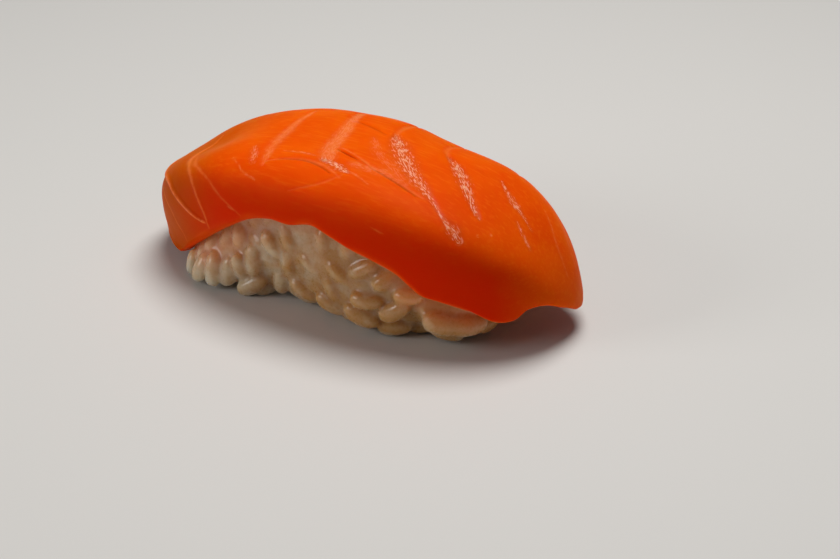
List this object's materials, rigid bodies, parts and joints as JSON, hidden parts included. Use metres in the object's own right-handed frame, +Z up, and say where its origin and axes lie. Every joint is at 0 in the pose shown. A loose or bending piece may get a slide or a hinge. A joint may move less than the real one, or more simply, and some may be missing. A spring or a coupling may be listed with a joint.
{
  "type": "salmon nigiri",
  "caption": "Salmon nigiri: a thick slice of raw salmon with pale fat lines, draped over a hand-pressed ball of sticky rice that shows along one long side.",
  "frame": {"origin": "bottom centre of the nigiri's bounding box, on the surface it rests on", "axes": "+Z up; +X along the length, towards the hooded end of the slice that hangs lowest past the rice; -Y towards the open side where the rice shows most"},
  "size_m": [0.0784, 0.0382, 0.0289],
  "materials": {
    "salmon_flesh": "raw salmon flesh: soft, slightly translucent, wet satin sheen, with pale fat lines",
    "cooked_rice": "cooked short-grain rice: ivory, translucent and slightly moist, grain by grain"
  },
  "bodies": {
    "root": {"salmon_slice": "salmon_flesh", "rice_ball": "cooked_rice"}
  },
  "joints": []
}
